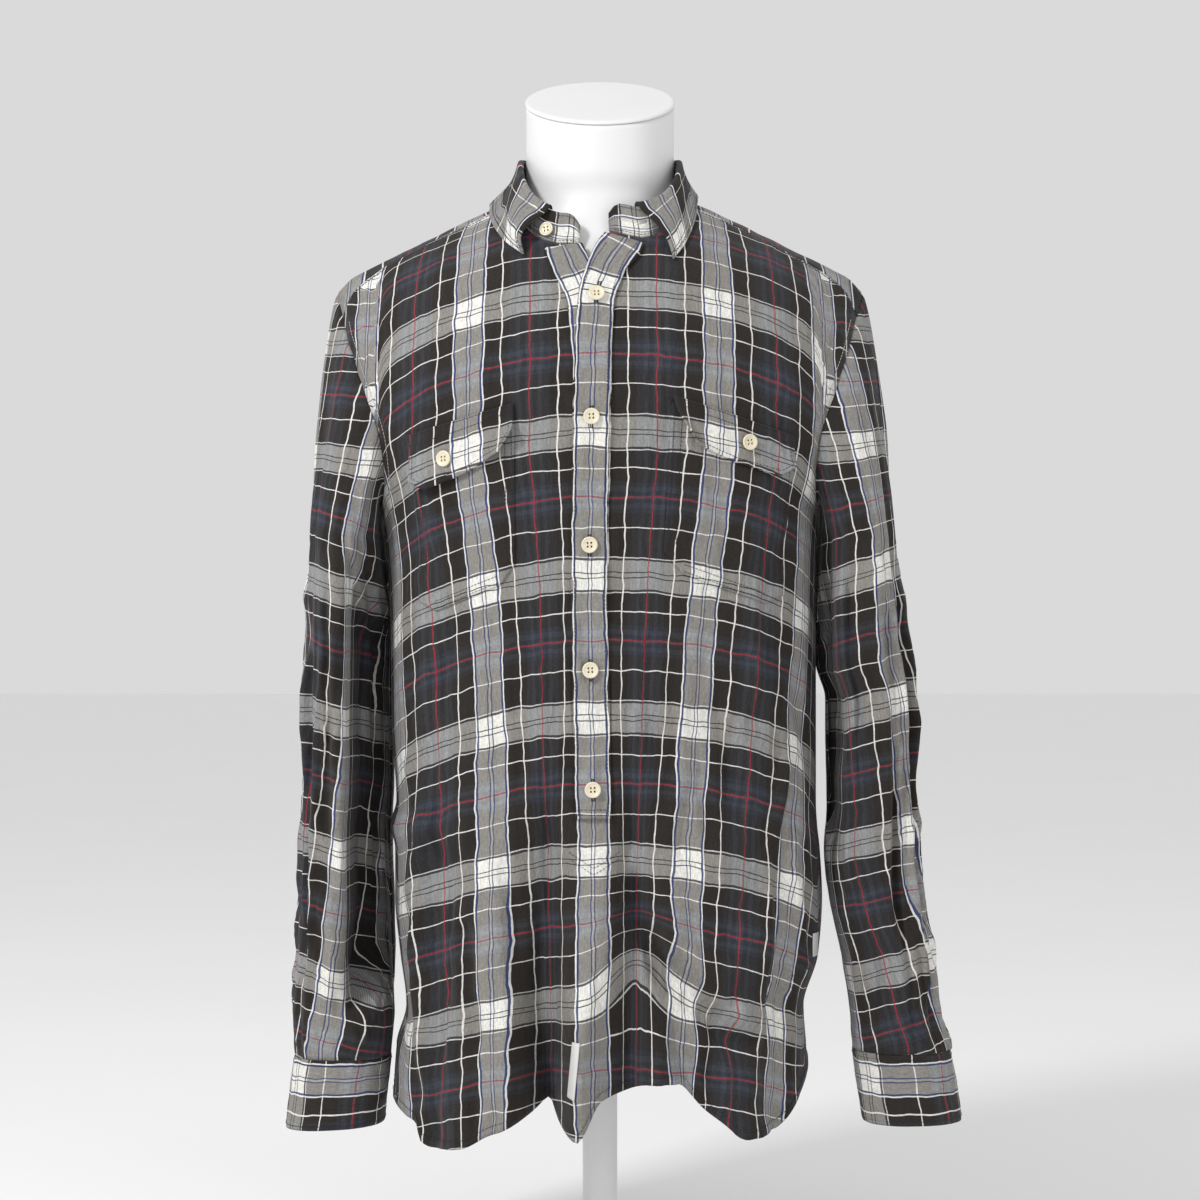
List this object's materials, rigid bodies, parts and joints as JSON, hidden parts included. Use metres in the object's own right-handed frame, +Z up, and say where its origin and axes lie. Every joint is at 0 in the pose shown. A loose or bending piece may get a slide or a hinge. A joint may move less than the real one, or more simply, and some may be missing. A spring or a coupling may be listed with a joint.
{
  "type": "flannel shirt on a limbless dress form",
  "caption": "Long-sleeved plaid flannel shirt with a half placket, flap pockets and open collar, filled out on a white limbless dress form with a slim stand and round base.",
  "frame": {"origin": "centre of the stand base's underside, on the floor", "axes": "+Z up, -Y the shirt's front, +X the viewer's right when looking at the front"},
  "size_m": [0.542, 0.276, 0.9693],
  "materials": {
    "flannel": "soft brushed plaid flannel, matt",
    "flannel_cross": "the same plaid flannel cut on the cross-grain, matt",
    "button": "cream resin with four holes, soft shine",
    "tape": "plain woven tape, matt",
    "form": "smooth white satin plastic",
    "stand": "white powder coat, satin"
  },
  "bodies": {
    "root": {"front": "flannel", "back": "flannel", "yoke": "flannel", "sleeve_left": "flannel", "sleeve_right": "flannel", "sleeve_placket_left": "flannel", "sleeve_placket_right": "flannel", "cuff_left": "flannel_cross", "cuff_right": "flannel_cross", "collar_stand": "flannel_cross", "collar_fall": "flannel", "placket_under": "flannel", "placket_top": "flannel", "pocket_left": "flannel", "pocket_right": "flannel", "flap_left": "flannel", "flap_right": "flannel", "button_placket_1": "button", "button_placket_2": "button", "button_placket_3": "button", "button_placket_4": "button", "button_placket_5": "button", "button_collar": "button", "button_pocket_left": "button", "button_pocket_right": "button", "button_cuff_left": "button", "button_cuff_right": "button", "label_hem": "tape", "label_side": "tape", "form_torso": "form", "form_cap": "form", "stand_pole": "stand", "stand_base": "stand"}
  },
  "joints": []
}
